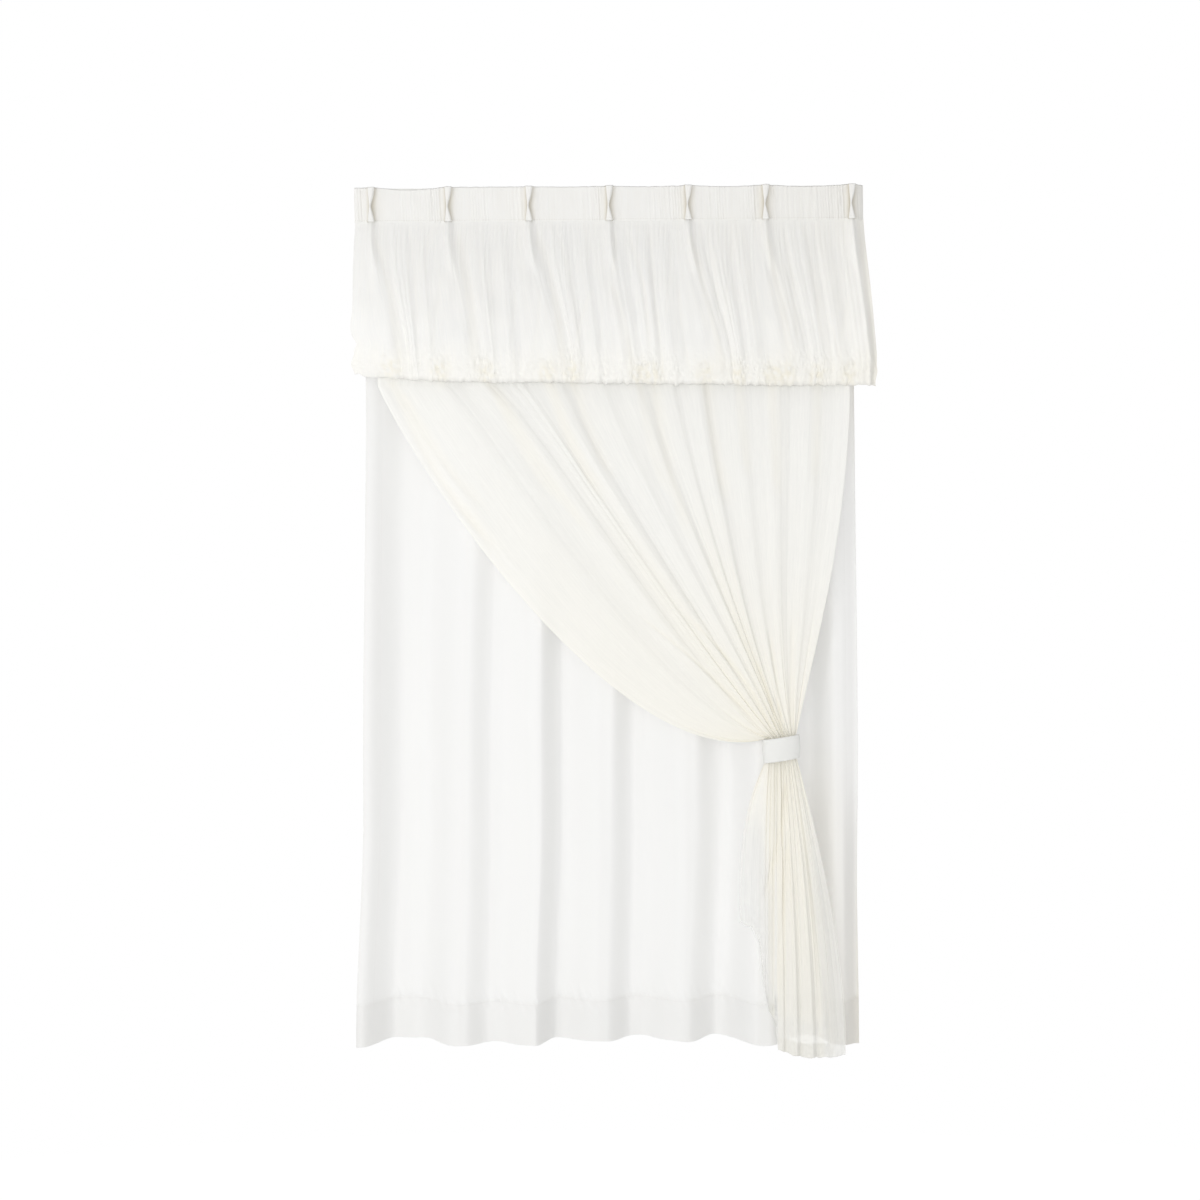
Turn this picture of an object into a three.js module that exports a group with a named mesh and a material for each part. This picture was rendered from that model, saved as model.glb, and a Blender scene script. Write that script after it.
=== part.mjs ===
// A balloon curtain: one window's width of layered cloth, ready to hang by its heading.
// Millimetres, +Z up. X runs along the rail, to the right as seen from the room, and -Y faces the room.
// The origin is the middle of the heading's top edge, where the curtain hangs.
import * as THREE from "three";

// Driving dimensions
const HEADING_WIDTH = 1050;
const HEADING_HEIGHT = 73;
const PANEL_DROP = 1775;
const VALANCE_DROP = 418;
const HEM_HEIGHT = 88;
const HALF_WIDTH = HEADING_WIDTH / 2;
const SEAM_GAP = 0.4; // between a piece and the one it is sewn to

// Thickness of each cloth as it hangs
const HEADING_CLOTH = 1.2; // sheer over buckram
const PANEL_CLOTH = 1.2;
const PANEL_HEM = 2.4; // turned up and folded in
const SHEER_CLOTH = 1;
const TIE_CLOTH = 2.4; // a stiffened double band

const finish = (colour, roughness) =>
  new THREE.MeshStandardMaterial({ color: colour, roughness, metalness: 0 });
const offWhiteSheer = finish(0xf3f1e9, 0.85);
const creamSheer = finish(0xf2eddc, 0.85);
const whitePanel = finish(0xfafaf8, 0.9);
const whiteBand = finish(0xf1f1ec, 0.75);

const mix = THREE.MathUtils.lerp;
const smooth = (t) => THREE.MathUtils.smoothstep(t, 0, 1);
const share = (value, from, to) => THREE.MathUtils.clamp((value - from) / (to - from), 0, 1);

// The value of a named column at a place between two rows of a table.
function between(table, key, column, at, ease = (t) => t) {
  const next = Math.max(1, table.findIndex((row) => row[key] >= at));
  const a = table[next - 1];
  const b = table[next];
  return mix(a[column], b[column], ease(share(at, a[key], b[key])));
}

// A closed sheet of cloth from a grid of points on its middle surface, columns to the right and rows down.
const MITRE_LIMIT = 2;
function sheetGeometry(grid, thickness) {
  const columns = grid.length;
  const rows = grid[0].length;
  const facet = (i, j) => {
    const down = grid[i + 1][j + 1].clone().sub(grid[i][j]);
    const up = grid[i + 1][j].clone().sub(grid[i][j + 1]);
    return up.cross(down).normalize();
  };
  const positions = [];
  for (const side of [-1, 1])
    for (let i = 0; i < columns; i++)
      for (let j = 0; j < rows; j++) {
        const around = [];
        for (const a of [i - 1, i])
          for (const b of [j - 1, j])
            if (a >= 0 && b >= 0 && a < columns - 1 && b < rows - 1) around.push(facet(a, b));
        const normal = around.reduce((sum, n) => sum.add(n), new THREE.Vector3()).normalize();
        const lean = Math.min(...around.map((n) => n.dot(normal)));
        const reach = (side * thickness(j)) / 2 / Math.max(lean, 1 / MITRE_LIMIT);
        positions.push(...grid[i][j].clone().addScaledVector(normal, reach).toArray());
      }
  const at = (side, i, j) => (side * columns + i) * rows + j;
  const index = [];
  const quad = (a, b, c, d) => index.push(a, b, c, a, c, d);
  for (let i = 0; i + 1 < columns; i++)
    for (let j = 0; j + 1 < rows; j++) {
      quad(at(0, i, j), at(0, i, j + 1), at(0, i + 1, j + 1), at(0, i + 1, j));
      quad(at(1, i, j), at(1, i + 1, j), at(1, i + 1, j + 1), at(1, i, j + 1));
    }
  for (let i = 0; i + 1 < columns; i++) {
    quad(at(0, i, 0), at(0, i + 1, 0), at(1, i + 1, 0), at(1, i, 0));
    quad(at(0, i + 1, rows - 1), at(0, i, rows - 1), at(1, i, rows - 1), at(1, i + 1, rows - 1));
  }
  for (let j = 0; j + 1 < rows; j++) {
    quad(at(0, 0, j + 1), at(0, 0, j), at(1, 0, j), at(1, 0, j + 1));
    quad(at(0, columns - 1, j), at(0, columns - 1, j + 1), at(1, columns - 1, j + 1), at(1, columns - 1, j));
  }
  const geometry = new THREE.BufferGeometry();
  geometry.setAttribute("position", new THREE.Float32BufferAttribute(positions, 3));
  geometry.setIndex(index);
  geometry.computeVertexNormals();
  return geometry;
}

function piece(name, geometry, material) {
  const mesh = new THREE.Mesh(geometry, material);
  mesh.name = name;
  return mesh;
}

// Heading: seven pinch pleats. After each one, how far the top edge of the flat sags. Below it, how far
// the valance's fold leans to the right, how freely it is gathered, and how much higher it turns under.
const pleats = [
  { x: -485, sag: 5, lean: 54, gather: 1.1, lift: 13 },
  { x: -326, sag: 0, lean: 42, gather: 0.85, lift: 6 },
  { x: -159, sag: 1, lean: 58, gather: 1.15, lift: 3 },
  { x: 7, sag: 1.5, lean: 28, gather: 0.8, lift: 0 },
  { x: 170, sag: 2.5, lean: 55, gather: 1.05, lift: -3 },
  { x: 330, sag: 3.5, lean: 42, gather: 0.95, lift: -6 },
  { x: 508, sag: 0, lean: 8, gather: 1, lift: -6 },
];
const END_TURN = 14; // the far end of the heading turns back towards the wall
const TURNED_END = 535; // and reaches this far to the right

// Each pleat is two fingers that stand out from the band, tacked together half-way down.
const FINGER_DEPTH = 30;
const FINGER_ROOT = 2.9; // half the distance between the two fingers at their root
const FINGER_HALF = 1.7; // half a finger's width on its middle surface
const PLEAT_MARGIN = 9; // from the pleat's middle to the flat of the band
const LAST_PLEAT = pleats[pleats.length - 1];
const headingLevels = [
  { z: 0, spread: 8.4, sags: 1 },
  { z: -22, spread: 5.2, sags: 0.5 },
  { z: -43, spread: FINGER_ROOT, sags: 0 },
  { z: -58, spread: 4.4, sags: 0 },
  { z: -HEADING_HEIGHT, spread: 6.6, sags: 0 },
];

// How far the heading has turned back at x.
const headingTurn = (x) => END_TURN * share(x, LAST_PLEAT.x + PLEAT_MARGIN, TURNED_END);

function pleatLine(x, spread) {
  const root = -2;
  const finger = (side) => [
    [side * FINGER_ROOT - FINGER_HALF, root],
    [side * spread - FINGER_HALF, -FINGER_DEPTH],
    [side * spread + FINGER_HALF, -FINGER_DEPTH],
    [side * FINGER_ROOT + FINGER_HALF, root],
  ];
  return [[-PLEAT_MARGIN, 0], ...finger(-1), ...finger(1), [PLEAT_MARGIN, 0]].map(([dx, y]) => [x + dx, y]);
}

function heading() {
  const flats = 4; // facets in the flat between two pleats
  const lineAt = ({ z, spread, sags }) => {
    const line = [[-HALF_WIDTH, 0, z], [-HALF_WIDTH + 14, 0, z]];
    pleats.forEach((pleat, k) => {
      line.push(...pleatLine(pleat.x, spread).map(([x, y]) => [x, y, z]));
      if (k === pleats.length - 1) return;
      const from = pleat.x + PLEAT_MARGIN;
      const to = pleats[k + 1].x - PLEAT_MARGIN;
      for (let step = 1; step < flats; step++) {
        const along = step / flats;
        line.push([mix(from, to, along), 0, z - sags * pleat.sag * Math.sin(Math.PI * along)]);
      }
    });
    return [...line, [TURNED_END, END_TURN, z]];
  };
  const levels = headingLevels.map((level) => lineAt(level).map((point) => new THREE.Vector3(...point)));
  const grid = levels[0].map((_, i) => levels.map((level) => level[i]));
  return piece("heading_band", sheetGeometry(grid, () => HEADING_CLOTH), offWhiteSheer);
}

// Back panel: each fold's forward ridge and the hollow to its right, as they stand at the hem.
// The drifts move a fold sideways, below the valance and half-way down the open cloth.
const panelFolds = [
  { ridgeX: -527, ridgeY: -20, hollowX: -408, hollowY: 71, driftHigh: 27, driftLow: 18 },
  { ridgeX: -315, ridgeY: -17, hollowX: -240, hollowY: 23, driftHigh: 29, driftLow: 10 },
  { ridgeX: -159, ridgeY: -23, hollowX: -114, hollowY: 69, driftHigh: 21, driftLow: 16 },
  { ridgeX: -26, ridgeY: 14, hollowX: 54, hollowY: 73, driftHigh: 33, driftLow: 10 },
  { ridgeX: 151, ridgeY: 9, hollowX: 247, hollowY: 83, driftHigh: 21, driftLow: 16 },
  { ridgeX: 315, ridgeY: -30, hollowX: 415, hollowY: 63, driftHigh: 5, driftLow: 5 },
  { ridgeX: 516, ridgeY: -20, driftHigh: -6, driftLow: -7 },
];
const HIGH = -417; // level of the valance's lower edge
const LOW = -1270;
const FOLD_START = -80; // folds open out from here
const PANEL_BEHIND = 3.7; // behind the heading's middle surface
const PANEL_TOP = { from: -519, to: 511 }; // the panel stops short of the heading's turned end

function panelColumn(fold, hollow, z) {
  const drift = z > LOW
    ? mix(fold.driftLow, fold.driftHigh, smooth(share(z, LOW, HIGH)))
    : mix(0, fold.driftLow, smooth(share(z, -PANEL_DROP, LOW)));
  return { x: (hollow ? fold.hollowX : fold.ridgeX) + drift, y: hollow ? fold.hollowY : fold.ridgeY };
}

function backPanel() {
  const steps = 3; // facets between a ridge and a hollow
  const turns = panelFolds.flatMap((fold) => ("hollowX" in fold ? [[fold, false], [fold, true]] : [[fold, false]]));
  const hemTop = -PANEL_DROP + HEM_HEIGHT;
  const levels = [-2, -HEADING_HEIGHT - 2, -150, -270, HIGH, -700, -1000, LOW, -1480, hemTop + 2, hemTop, -PANEL_DROP];
  const point = (column, z) => {
    const turn = Math.min(Math.floor(column / steps), turns.length - 2);
    const [a, b] = [turns[turn], turns[turn + 1]].map(([fold, hollow]) => panelColumn(fold, hollow, z));
    const along = column / steps - turn;
    const open = smooth(share(z, FOLD_START, HIGH));
    const hung = mix(PANEL_TOP.from, PANEL_TOP.to, column / steps / (turns.length - 1));
    const y = mix(PANEL_BEHIND, mix(a.y, b.y, smooth(along)), open);
    return new THREE.Vector3(mix(hung, mix(a.x, b.x, along), open), y, z);
  };
  const grid = Array.from({ length: (turns.length - 1) * steps + 1 }, (_, i) => levels.map((z) => point(i, z)));
  const thickness = (j) => (levels[j] <= hemTop ? PANEL_HEM : PANEL_CLOTH);
  return piece("back_panel", sheetGeometry(grid, thickness), whitePanel);
}

// Swag: threads of the sheer drawn from the heading to the tie, and on down the tail.
// Each guide is one thread, at a share `u` of the cloth's width. Two handles shape its curve to the tie,
// and below it the tail spreads faster at first where `flare` is larger.
const guides = [
  { u: 0, x: -457, x1: -412, z1: -542, x2: 0, z2: -1212, tieX: 318, hemX: 265, hemZ: -1524, flare: 3 },
  { u: 0.19, x: -250, x1: -122, z1: -540, x2: 146, z2: -1020, tieX: 329, hemX: 298, hemZ: -1629, flare: 2.6 },
  { u: 0.35, x: -114, x1: -48, z1: -560, x2: 187, z2: -918, tieX: 339, hemX: 318, hemZ: -1715, flare: 2.3 },
  { u: 0.5, x: 52, x1: 95, z1: -571, x2: 248, z2: -898, tieX: 350, hemX: 352, hemZ: -1781, flare: 2 },
  { u: 0.65, x: 185, x1: 208, z1: -571, x2: 258, z2: -898, tieX: 360, hemX: 388, hemZ: -1792, flare: 1.9 },
  { u: 0.81, x: 340, x1: 348, z1: -571, x2: 330, z2: -898, tieX: 371, hemX: 433, hemZ: -1794, flare: 1.8 },
  { u: 1, x: 509, x1: 504, z1: -653, x2: 440, z2: -898, tieX: 383, hemX: 472, hemZ: -1786, flare: 1.8 },
];
const TIE = { x: 350, y: -58, z: -1163, height: 48, slope: 0.15, halfWidth: 37, halfDepth: 18 };
// The sheer's folds across its width, ridge and hollow in turn: how far each stands forward in the open
// swag, under the tie and in the tail.
const swagTurns = [
  { u: 0, open: 8, tied: 2, tail: 8 },
  { u: 0.045, open: -8, tied: -5, tail: -12 },
  { u: 0.11, open: 4, tied: 7, tail: 5 },
  { u: 0.15, open: -6, tied: -8, tail: -3 },
  { u: 0.19, open: 10, tied: 9, tail: 13 },
  { u: 0.235, open: -9, tied: -9, tail: -14 },
  { u: 0.28, open: 3, tied: 10, tail: 4 },
  { u: 0.315, open: -5, tied: -10, tail: -2 },
  { u: 0.35, open: 10, tied: 11, tail: 14 },
  { u: 0.395, open: -8, tied: -11, tail: -14 },
  { u: 0.44, open: 3, tied: 12, tail: 6 },
  { u: 0.47, open: -5, tied: -12, tail: -2 },
  { u: 0.505, open: 8, tied: 12, tail: 12 },
  { u: 0.545, open: -8, tied: -12, tail: -13 },
  { u: 0.58, open: 4, tied: 11, tail: 3 },
  { u: 0.615, open: -4, tied: -11, tail: -4 },
  { u: 0.65, open: 9, tied: 10, tail: 13 },
  { u: 0.695, open: -9, tied: -10, tail: -13 },
  { u: 0.735, open: 2, tied: 9, tail: 2 },
  { u: 0.77, open: -6, tied: -9, tail: -5 },
  { u: 0.81, open: 9, tied: 8, tail: 12 },
  { u: 0.86, open: -7, tied: -7, tail: -12 },
  { u: 0.91, open: 4, tied: 5, tail: 8 },
  { u: 0.955, open: -5, tied: -4, tail: -6 },
  { u: 1, open: 6, tied: 1, tail: 7 },
];
const TOP_HALF = 511; // half the sheer's width at its top, short of the heading's turned end
const SWAG_BEHIND = 1.9; // behind the heading's middle surface
const SWAG_Y = -47; // the sheer's middle surface below the valance

// Height of the tie's slanting edge at x, `down` mm below its middle.
const tieLevel = (x, down) => TIE.z - down + TIE.slope * (x - TIE.x);

function bezier(p0, p1, p2, p3, t) {
  const s = 1 - t;
  return s * s * s * p0 + 3 * s * s * t * p1 + 3 * s * t * t * p2 + t * t * t * p3;
}

function swag() {
  const steps = 2; // facets between a ridge and a hollow
  const columns = (swagTurns.length - 1) * steps;
  const hangs = [-2, -HEADING_HEIGHT - 2, -190, -310];
  const draws = [0, 0.14, 0.28, 0.42, 0.56, 0.7, 0.82, 0.91, 1];
  const falls = [0, 0.08, 0.2, 0.4, 0.65, 1];
  const thread = (i) => {
    const k = Math.min(Math.floor(i / steps), swagTurns.length - 2);
    const u = mix(swagTurns[k].u, swagTurns[k + 1].u, i / steps - k);
    const guide = (column) => between(guides, "u", column, u);
    const fold = (column) => between(swagTurns, "u", column, u);
    const foot = guide("tieX");
    const hang = (z) => {
      const open = smooth(share(z, FOLD_START, HIGH));
      const x = mix(mix(-TOP_HALF, TOP_HALF, u), guide("x"), open);
      return new THREE.Vector3(x, mix(SWAG_BEHIND, SWAG_Y - fold("open"), open), z);
    };
    const draw = (t) => {
      const x = bezier(guide("x"), guide("x1"), guide("x2"), foot, t);
      const z = bezier(HIGH, guide("z1"), guide("z2"), tieLevel(foot, -TIE.height / 2), t);
      return new THREE.Vector3(x, mix(SWAG_Y, TIE.y, smooth(t)) - mix(fold("open"), fold("tied"), t ** 2), z);
    };
    const fall = (t) => {
      const x = mix(foot, guide("hemX"), 1 - (1 - t) ** guide("flare"));
      const z = mix(tieLevel(foot, TIE.height / 2), guide("hemZ"), t);
      return new THREE.Vector3(x, TIE.y - mix(fold("tied"), fold("tail"), smooth(t)), z);
    };
    return [...hangs.map(hang), ...draws.map(draw), ...falls.map(fall)];
  };
  const grid = Array.from({ length: columns + 1 }, (_, i) => thread(i));
  return piece("swag_sheer", sheetGeometry(grid, () => SHEER_CLOTH), creamSheer);
}

// Valance: gathered under the heading, blown forward, and turned under at its hem like a balloon.
const valanceLevels = [
  { z: -HEADING_HEIGHT - SEAM_GAP, front: 0, out: 0, fold: 0 },
  { z: -95, front: 8, out: 0, fold: 0.35 },
  { z: -150, front: 32, out: 0.1, fold: 0.8 },
  { z: -230, front: 62, out: 0.4, fold: 1 },
  { z: -310, front: 82, out: 0.75, fold: 1 },
  { z: -375, front: 91, out: 1, fold: 0.9 },
  { z: -405, front: 88, out: 1, fold: 0.7 },
  { z: -VALANCE_DROP, front: 77, out: 0.95, fold: 0.45 },
  { z: -407, front: 68, out: 0.9, fold: 0.25 },
  { z: -372, front: 67, out: 0.85, fold: 0.1 },
];
const FLARE_LEFT = 6;
const FLARE_RIGHT = 13;
const RIDGE = 11; // how far a fold stands forward below a pleat
const PLEAT_BULGE = 13; // the cloth bulges out under the fingers of a pleat
const RETURN_BACK = 0.45; // past the last pleat the valance turns back, by this share of its depth
// Places across one span, from one pleat to the next, and how far the cloth stands forward there.
const spanFolds = [
  { at: 0, forward: RIDGE },
  { at: 0.08, forward: 2 },
  { at: 0.17, forward: -13 },
  { at: 0.3, forward: 4 },
  { at: 0.42, forward: 7 },
  { at: 0.53, forward: -4 },
  { at: 0.66, forward: 6 },
  { at: 0.78, forward: -3 },
  { at: 0.9, forward: 5 },
];

function valance() {
  const place = (x, forward, lean, lift, more = {}) => ({ x, forward, lean, lift, bulge: 0, back: 0, ...more });
  const places = [place(-HALF_WIDTH + 1, 3, 0, 24), place(-HALF_WIDTH + 16, -4, 8, 17)];
  pleats.slice(0, -1).forEach((pleat, k) => {
    const next = pleats[k + 1];
    spanFolds.forEach(({ at, forward }) => {
      const lean = mix(pleat.lean, next.lean, at);
      const lift = mix(pleat.lift, next.lift, at);
      const bulge = at === 0 ? PLEAT_BULGE : 0;
      places.push(place(mix(pleat.x, next.x, at), forward * pleat.gather, lean, lift, { bulge }));
    });
  });
  const { x, lean, lift } = LAST_PLEAT;
  places.push(place(x, RIDGE, lean, lift, { bulge: PLEAT_BULGE }));
  places.push(place(mix(x, TURNED_END, 0.5), 0, lean, lift, { back: RETURN_BACK / 3 }));
  places.push(place(TURNED_END + 1, 0, 0, lift, { back: RETURN_BACK }));
  const grid = places.map((at) =>
    valanceLevels.map(({ z, front, out, fold }, j) => {
      const down = smooth(share(-z, HEADING_HEIGHT, VALANCE_DROP));
      const flare = out * mix(FLARE_LEFT, FLARE_RIGHT, share(at.x, -HALF_WIDTH, HALF_WIDTH));
      const bulge = at.bulge * (j === 0 ? 1 : Math.max(0, 1 - out * 3));
      const stand = (front + at.forward * fold) * (1 - at.back) + bulge;
      const turned = headingTurn(at.x) * (1 - smooth(share(front, 0, 60)));
      return new THREE.Vector3(at.x + at.lean * down + flare, turned - stand, z + at.lift * down);
    }),
  );
  return piece("valance", sheetGeometry(grid, () => SHEER_CLOTH), offWhiteSheer);
}

// Tie: a stiff band closed round the gathered sheer, its edges slanting up to the right.
function tieBand() {
  const outline = (shape, halfWidth, halfDepth) => shape.absellipse(0, 0, halfWidth, halfDepth, 0, 2 * Math.PI);
  const ring = outline(new THREE.Shape(), TIE.halfWidth, TIE.halfDepth);
  ring.holes.push(outline(new THREE.Path(), TIE.halfWidth - TIE_CLOTH, TIE.halfDepth - TIE_CLOTH));
  const geometry = new THREE.ExtrudeGeometry(ring, {
    depth: TIE.height,
    steps: 1,
    curveSegments: 14,
    bevelEnabled: false,
  });
  geometry.translate(0, 0, -TIE.height / 2);
  geometry.applyMatrix4(new THREE.Matrix4().makeShear(0, TIE.slope, 0, 0, 0, 0));
  const band = piece("tie_band", geometry, whiteBand);
  band.position.set(TIE.x, TIE.y, TIE.z);
  return band;
}

const curtain = new THREE.Group();
curtain.add(heading(), valance(), swag(), tieBand(), backPanel());

export default curtain;
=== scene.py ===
# %% [markdown]
# # A balloon curtain for one window
#
# Three light cloths hang from one pleated heading: a plain white panel at the back, a cream sheer that a
# tie band draws to the right, and a gathered valance that balloons out over both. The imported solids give
# every piece its place and its large folds. Here each solid is replaced by a fine sheet that repeats
# those folds and adds what a solid leaves out: gathers, puckers, hems, stitches and the cloth itself.
#
# The frame is loaded first, and its box is kept, because the finished curtain has to stay inside it.

import bpy
import numpy as np
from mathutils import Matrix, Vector


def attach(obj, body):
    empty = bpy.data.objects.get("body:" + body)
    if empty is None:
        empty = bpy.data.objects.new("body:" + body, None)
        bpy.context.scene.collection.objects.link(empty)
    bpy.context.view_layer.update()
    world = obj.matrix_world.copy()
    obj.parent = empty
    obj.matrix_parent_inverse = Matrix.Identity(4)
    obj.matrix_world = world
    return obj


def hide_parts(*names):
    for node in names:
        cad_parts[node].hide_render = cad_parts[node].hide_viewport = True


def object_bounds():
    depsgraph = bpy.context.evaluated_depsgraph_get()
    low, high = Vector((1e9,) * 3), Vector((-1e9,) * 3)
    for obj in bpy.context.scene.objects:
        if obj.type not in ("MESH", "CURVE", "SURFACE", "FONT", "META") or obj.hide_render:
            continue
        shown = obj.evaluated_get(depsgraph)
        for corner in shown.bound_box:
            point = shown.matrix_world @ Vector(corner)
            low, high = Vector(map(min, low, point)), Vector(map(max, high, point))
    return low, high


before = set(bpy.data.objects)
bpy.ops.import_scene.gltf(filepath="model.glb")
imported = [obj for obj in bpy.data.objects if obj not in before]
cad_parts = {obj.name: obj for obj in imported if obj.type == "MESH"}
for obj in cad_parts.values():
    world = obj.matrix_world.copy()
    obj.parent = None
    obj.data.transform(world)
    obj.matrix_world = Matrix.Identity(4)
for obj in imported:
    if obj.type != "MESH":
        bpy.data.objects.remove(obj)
cad_low, cad_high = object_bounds()
MM = 0.001
print("solids:", sorted(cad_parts), "box:", [round(v, 3) for v in (*cad_low, *cad_high)])

# %% [markdown]
# ## Curves through a maker's table
#
# A curtain is set out as a table: each pleat or fold has a place, a depth and a drift. Drawing every
# vertex by hand would be hopeless, and a straight line between rows would leave kinks. So one helper
# draws a smooth curve through a named column, and another eases from ridge to hollow, as a fold does.
# Both take whole arrays, so a sheet of a hundred thousand points is placed in a moment.

# %% Blend, ease and read a table
def table_of(names, *numbers):
    """A table as a list of rows, with a value under each name. A short row leaves the last names out."""
    return [dict(zip(names.split(), row)) for row in numbers]


def mix(a, b, t):
    return a + (b - a) * t


def share(value, start, end):
    return np.clip((value - start) / (end - start), 0, 1)


def smooth(t):
    t = np.clip(t, 0, 1)
    return t * t * (3 - 2 * t)


def ease(value, start, end):
    """0 before start and 1 after end, with a soft rise between them."""
    return smooth(share(value, start, end))


def hump(distance, width):
    """1 on a line, falling off softly over about its width on both sides."""
    return np.exp(-((distance / width) ** 2))


def rows(table, key, name):
    """Two columns of a table as arrays, in rising order of the first."""
    pairs = sorted((row[key], row[name]) for row in table if name in row)
    return (np.array(column, float) for column in zip(*pairs))


def curve(table, key, name, at):
    """A column's value at any place between the rows, on a smooth curve through them."""
    x, y = rows(table, key, name)
    slope = np.gradient(y, x)
    k = np.clip(np.searchsorted(x, at) - 1, 0, len(x) - 2)
    width = x[k + 1] - x[k]
    t = np.clip((at - x[k]) / width, 0, 1)
    start = (1 + 2 * t) * (1 - t) ** 2 * y[k] + t * (1 - t) ** 2 * width * slope[k]
    end = t * t * (3 - 2 * t) * y[k + 1] + t * t * (t - 1) * width * slope[k + 1]
    return start + end


def turns(table, key, name, at, steep=1.0):
    """A column read as ridges and hollows in turn. Where steep is under 1, the cloth falls fast from a
    ridge and then lies flat until the next rise."""
    x, y = rows(table, key, name)
    k = np.clip(np.searchsorted(x, at) - 1, 0, len(x) - 2)
    t = np.clip((at - x[k]) / (x[k + 1] - x[k]), 0, 1)
    falling = y[k + 1] < y[k]
    t = np.where(falling, np.clip(t / steep, 0, 1), t)
    return mix(y[k], y[k + 1], smooth(t))


print("half-way down a fold:", float(smooth(0.5)))

# %% [markdown]
# ## Unevenness that is the same every time
#
# No two gathers are alike, so the folds need some chance in them, but the same chance at every run. A few
# sine waves of random length and phase, drawn from a numbered seed, give soft ripples along a line. Waves
# in all directions give the crumple of a soft hem. Blender's noise textures could do it in the material,
# but real folds have to be in the mesh, where they overlap and cast shadows.

# %% Ripples and crumples
def ripple(at, seed, finest, coarsest, waves=14):
    """Soft random waves along a line, about 1 high, between two wavelengths."""
    draw = np.random.default_rng(seed)
    lengths = np.exp(draw.uniform(np.log(finest), np.log(coarsest), waves))
    starts = draw.uniform(0, 2 * np.pi, waves)
    total = sum(np.sin(2 * np.pi * at / length + start) for length, start in zip(lengths, starts))
    return total * np.sqrt(2 / waves) * 0.7


def crumple(x, z, seed, finest, coarsest, waves=22):
    """Soft random waves over a surface, about 1 high, running in all directions."""
    draw = np.random.default_rng(seed)
    lengths = np.exp(draw.uniform(np.log(finest), np.log(coarsest), waves))
    starts = draw.uniform(0, 2 * np.pi, waves)
    ways = draw.uniform(0, np.pi, waves)
    total = 0
    for length, start, way in zip(lengths, starts, ways):
        total = total + np.sin(2 * np.pi * (x * np.cos(way) + z * np.sin(way)) / length + start)
    return total * np.sqrt(2 / waves) * 0.7


print("ripple at 0, 5 and 10 mm:", ripple(np.array([0.0, 5.0, 10.0]), 1, 8, 20).round(2))

# %% [markdown]
# ## From a grid of points to a piece of cloth
#
# Every cloth here is one rectangle of threads, however much it is folded. So every sheet is one grid:
# columns are threads that run down the curtain, rows run across it. Each point also remembers where it
# was on the flat cloth, in the attribute "thread", so that the weave follows the folds instead of
# sliding over them. A hem is the same cloth turned behind itself, so it is the grid's own edge, turned.

# %% Make sheets and hems
def facing(points):
    """The direction, towards the room, that each point of a sheet faces."""
    side = np.cross(np.gradient(points, axis=1), np.gradient(points, axis=0))
    return side / np.maximum(np.linalg.norm(side, axis=2, keepdims=True), 1e-9)


def turned(points, count, gap, axis):
    """Turns a sheet's last columns (axis 0) or rows (axis 1) behind it as a hem. Two close rows on either
    side of the fold keep it crisp under smooth shading."""
    points = np.moveaxis(points, axis, 0)
    edge, near = points[-1:], mix(points[-1:], points[-2:-1], 0.12)
    behind = np.array([0.0, gap, 0.0])
    hem = [near, edge, edge + behind, near + behind, points[-2 : -2 - count : -1] + behind]
    return np.moveaxis(np.concatenate([points[:-1], *hem]), 0, axis)


def run_length(points, axis):
    """How far along the cloth each row or column lies, on average."""
    steps = np.linalg.norm(np.diff(points, axis=axis), axis=2)
    return np.concatenate([[0], np.cumsum(steps.mean(axis=1 - axis))])


pieces = {}


def cloth(name, points, replaces, slot, closed=False, **fields):
    """Makes a mesh from a grid of points in millimetres, and rides it on the curtain's one body."""
    columns, count = points.shape[:2]
    index = np.arange(columns * count).reshape(columns, count)
    if closed:
        index = np.vstack([index, index[:1]])
    corners = (index[:-1, :-1], index[:-1, 1:], index[1:, 1:], index[1:, :-1])
    quads = np.stack(corners, axis=-1).reshape(-1, 4)
    mesh = bpy.data.meshes.new(name)
    mesh.from_pydata((points.reshape(-1, 3) * MM).tolist(), [], quads.tolist())
    mesh.polygons.foreach_set("use_smooth", np.ones(len(quads), bool))
    thread = np.zeros((columns, count, 3))
    thread[..., 0] = run_length(points, 0)[:, None]
    thread[..., 1] = run_length(points, 1)[None, :]
    data = mesh.attributes.new("thread", "FLOAT_VECTOR", "POINT").data
    data.foreach_set("vector", (thread * MM).ravel())
    for field, values in fields.items():
        data = mesh.attributes.new(field, "FLOAT", "POINT").data
        data.foreach_set("value", np.broadcast_to(values, (columns, count)).astype(float).ravel())
    keep(name, mesh, replaces)


def keep(name, mesh, replaces):
    """Links a piece, rides it on the body, hides the solid it stands for and keeps it by name."""
    piece = bpy.data.objects.new(name, mesh)
    bpy.context.scene.collection.objects.link(piece)
    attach(piece, "root")
    if replaces:
        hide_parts(replaces)
    pieces[name] = piece
    print(f"{name}: {len(mesh.polygons)} faces")


# %% [markdown]
# ## The heading
#
# The heading is a stiffened strip, folded over at its top and gathered a little, with a pinch pleat every
# 160 mm. Each pleat is a loop of cloth pushed out towards the room and tacked together half-way down, so
# from the front it looks like an hourglass. A Solidify modifier would thicken a flat strip, but the loops
# need a true path: the strip's outline is worked out as seen from above at each level, and the levels are
# joined. The cloth then turns over the top and comes down behind.

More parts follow.
